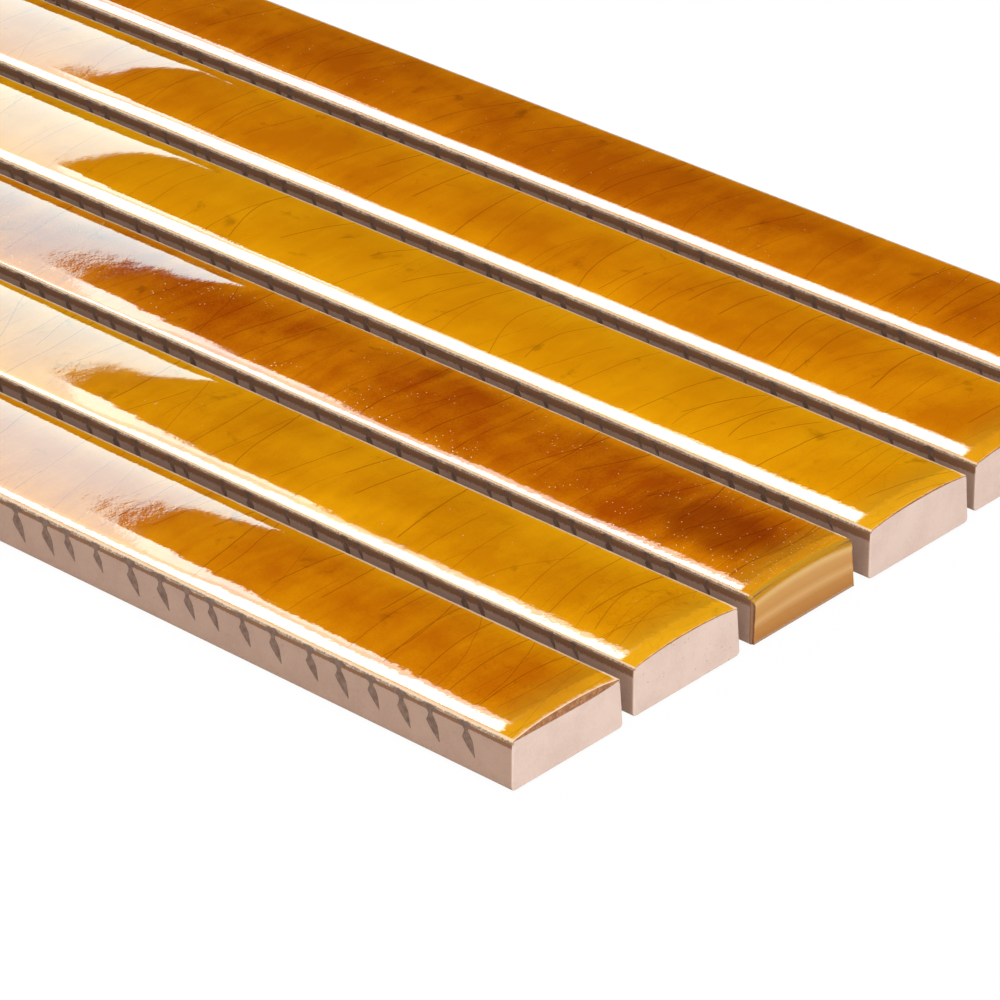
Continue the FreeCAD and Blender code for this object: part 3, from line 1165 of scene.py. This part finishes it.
def fired_clay(name):
    """Pinkish gritty clay; darker sides and a band under the glass are partly painted shade."""
    made, shader, where = fresh("fired_clay_" + name)
    stain_and_shade = kept(where.tree, "stain_and_shade")
    along, _, _ = xyz(node("ShaderNodeNewGeometry", tree=where.tree)["True Normal"])
    cut = ramp(abs(along), 0.35, 0.75)
    fine = grain(where, 2.6, 4.0, 0.7)
    tone = fine * 0.30 + grain(where, 0.16, 3.0, 0.6) * 0.45
    # Faces along X take the cut clay and the sides the darker one, whose darkness is partly painted
    # shade.
    colour = blend(cut, SIDE_CLAY_AND_SHADE, CUT_CLAY)
    greyed = blend(1.0, colour, GREY_TONE, "MULTIPLY")
    colour = blend(ramp(tone, 0.28, 0.52), colour, greyed)
    speck, chance = dots(where, 1.05, 0.08, 0.16)
    grit = speck * (chance < 0.16)
    colour = blend(grit * 0.5, colour, GRIT_COLOUR)
    # Painted shade, with some brown stain, darkens the clay under the glass foot and the rounded
    # end behind the glazed end.
    toast = calc("MAXIMUM", stain_and_shade * (1.0 - cut), stain_and_shade - 1.0) + sway(fine, 0.9)
    colour = blend(ramp(toast, 0.35, 0.65) * 0.92, colour, CLAY_SHADE_AND_STAIN)
    plug(shader["Base Color"], colour)
    plug(shader["Roughness"], ramp(fine, 0.3, 0.7, 0.78, 0.92))
    plug(shader["Specular IOR Level"], 0.3)
    bumped(shader, fine + grain(where, 0.9, 2.0) * 1.2 - grit, 0.00006)
    return made


clays = {name: fired_clay(name) for name in STRIPS}
print("clays:", len(clays))

# %% The cut band, the run marks and the yarn
def plain_finish(name, light, dark, scale, rough, bump, stretch=None):
    """A finish that wanders between two shades."""
    made, shader, where = fresh(name)
    shade = grain(where, scale, 4.0, 0.65, stretch=stretch)
    plug(shader["Base Color"], blend(ramp(shade, 0.35, 0.65), light, dark))
    plug(shader["Roughness"], ramp(shade, 0.3, 0.7, rough, rough + 0.15))
    bumped(shader, shade, bump)
    return made


cut_band = plain_finish(
    "cut_glaze_band", (0.46, 0.20, 0.075), (0.26, 0.10, 0.038), 1.6, 0.7, 0.00003
)
run_finish = plain_finish(
    "run_mark_clay_stain", (0.21, 0.118, 0.076), (0.14, 0.074, 0.046), 1.1, 0.55, 0.00003
)
yarn_finish = plain_finish(
    "glass_fibre_yarn", (0.80, 0.80, 0.77), (0.62, 0.62, 0.58), 3.0, 0.5, 0.00004, (1, 1, 6)
)
print("band, run marks and yarn finished")

# %% Finishes and places in the frame
for name in STRIPS:
    glass[name].data.materials.append(glazes[name])
    glass[name].data.materials.append(cut_band)
    clay[name].data.materials.append(clays[name])
    for piece, slot in ((glass[name], "glaze_strip_" + name[-1]), (clay[name], "bisque")):
        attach(piece, "root")
        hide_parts(name)
for made in runs:
    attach(made, "root")
    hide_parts(made.name.split("_runs")[0])
for made in weave:
    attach(made, "root")
    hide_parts("backing_mesh")
pieces = list(glass.values()) + list(clay.values()) + runs + weave
total = sum(len(face.vertices) - 2 for made in pieces for face in made.data.polygons)
print(len(pieces), "pieces with", total, "triangles")

# %% [markdown]
# The studio: a white floor, a dim world and ten soft panels. Seven of them stand together
# behind on the left, where the flat faces mirror them: a wide pale one gives the sheen over
# the left of the faces, four small steps shape its slanted end, and a narrow and a high one
# draw the white line along each shoulder. The other three light the strips from above, the
# cut ends from the right and the sides from the front.

# %% Floor and world
FLOOR_HALF = 8
FLOOR_GLOW = 0.97
WORLD_STRENGTH = 0.005
floor_mesh = bpy.data.meshes.new("floor")
corners = [(x * FLOOR_HALF, y * FLOOR_HALF, 0) for x, y in ((-1, -1), (1, -1), (1, 1), (-1, 1))]
floor_mesh.from_pydata(corners, [], [(0, 1, 2, 3)])
floor = linked("floor", floor_mesh)
paper = plain_finish("white_floor", (0.97, 0.97, 0.97), (0.96, 0.96, 0.96), 0.02, 0.8, 0.0)
tree = paper.node_tree
seen = node("ShaderNodeLightPath", tree=tree)
straight = seen["Is Camera Ray"] + seen["Is Glossy Ray"]
straight = calc("ADD", straight, seen["Is Transmission Ray"], clamp=True)
surface = next(part for part in tree.nodes if part.type == "OUTPUT_MATERIAL").inputs["Surface"]
matt = Value(surface.links[0].from_socket)
white = node("ShaderNodeEmission", tree=tree)
plug(surface, node("ShaderNodeMixShader", {0: straight * FLOOR_GLOW, 1: matt, 2: white}))
floor_mesh.materials.append(paper)
world = bpy.context.scene.world or bpy.data.worlds.new("studio")
bpy.context.scene.world = world
world.use_nodes = True
background = next(part for part in world.node_tree.nodes if part.type == "BACKGROUND")
plug(background.inputs["Color"], (1, 1, 1))
plug(background.inputs["Strength"], WORLD_STRENGTH)
print("world strength", background.inputs["Strength"].default_value)

# %% Panels placed by the direction in which they are seen
def sky(azimuth, elevation):
    """Unit vector; azimuth from +Y towards +X, in degrees."""
    a, e = math.radians(azimuth), math.radians(elevation)
    return Vector((math.sin(a) * math.cos(e), math.cos(a) * math.cos(e), math.sin(e)))


def panel(name, middle, size, distance, radiance, offset=(0, 0), turn=0.0, colour=(1, 1, 1)):
    """A soft panel that faces the object: offset and size are per unit of distance."""
    out = sky(*middle)
    right = out.cross(Vector((0, 0, 1))).normalized()
    up = right.cross(out)
    lamp = bpy.data.lights.new(name, "AREA")
    lamp.shape = "RECTANGLE"
    lamp.size, lamp.size_y = size[0] * distance, size[1] * distance
    lamp.energy = radiance * math.pi * lamp.size * lamp.size_y
    lamp.color = colour
    made = linked(name, lamp)
    angle = math.radians(turn)
    x_axis = right * math.cos(angle) + up * math.sin(angle)
    axes = Matrix((x_axis, out.cross(x_axis), out)).transposed().to_4x4()
    place = (out + right * offset[0] + up * offset[1]) * distance
    made.matrix_world = Matrix.Translation(place) @ axes
    return made


print("the sky's middle is", tuple(sky(0, 90).to_tuple(3)))

# %% The ten panels
WINDOW = (-50, 32)
WHITE = (1, 1, 1)
MIRRORED = [
    ("back_panel", (-0.178, -0.188), (0.452, 0.451), 2.6, (0.64, 0.93, 0.96)),
    ("wedge_panel_1", (-0.073, 0.069), (0.021, 0.016), 4.2, WHITE),
    ("wedge_panel_2", (-0.075, 0.093), (0.022, 0.041), 4.2, WHITE),
    ("wedge_panel_3", (-0.078, 0.118), (0.022, 0.065), 4.2, WHITE),
    ("wedge_panel_4", (-0.080, 0.143), (0.022, 0.090), 4.2, WHITE),
    ("edge_panel", (-0.196, 0.090), (0.023, 0.716), 2.8, WHITE),
    ("high_panel", (-0.292, 0.228), (0.312, 0.716), 8.0, WHITE),
]
ROUND_ABOUT = [
    ("top_panel", (130, 62), (0.9, 0.7), 2.0, 4.0),
    ("right_panel", (104, 14), (1.0, 0.5), 0.9, 2.3),
    ("front_panel", (-165, 22), (1.2, 0.6), 2.0, 1.2),
]
panels = [
    panel(name, WINDOW, size, 20.0, radiance, offset, 125.0, colour)
    for name, offset, size, radiance, colour in MIRRORED
]
panels += [panel(*soft) for soft in ROUND_ABOUT]
print("panels:", [round(lamp.data.energy) for lamp in panels], "W")

# %% The camera, a long lens from the front right
camera_data = bpy.data.cameras.new("camera")
camera_data.lens = 207.33
camera_data.sensor_width = 36
camera_data.clip_start = 0.05
camera = linked("camera", camera_data)
corner = Vector((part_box("strip_1")[1].x, -0.0748, 0.0004))
stand = corner + Vector((0.4702862, -0.4799781, 0.4301055))
axes = Matrix((
    (0.7249184, 0.6881966, -0.0287462),
    (-0.3233225, 0.3767814, 0.8681338),
    (0.6082498, -0.6200632, 0.4955939),
))
camera.matrix_world = Matrix.Translation(stand) @ axes.transposed().to_4x4()
bpy.context.scene.camera = camera
bpy.context.scene.view_settings.view_transform = "Standard"
print("camera", [round(value, 3) for value in stand], "m")
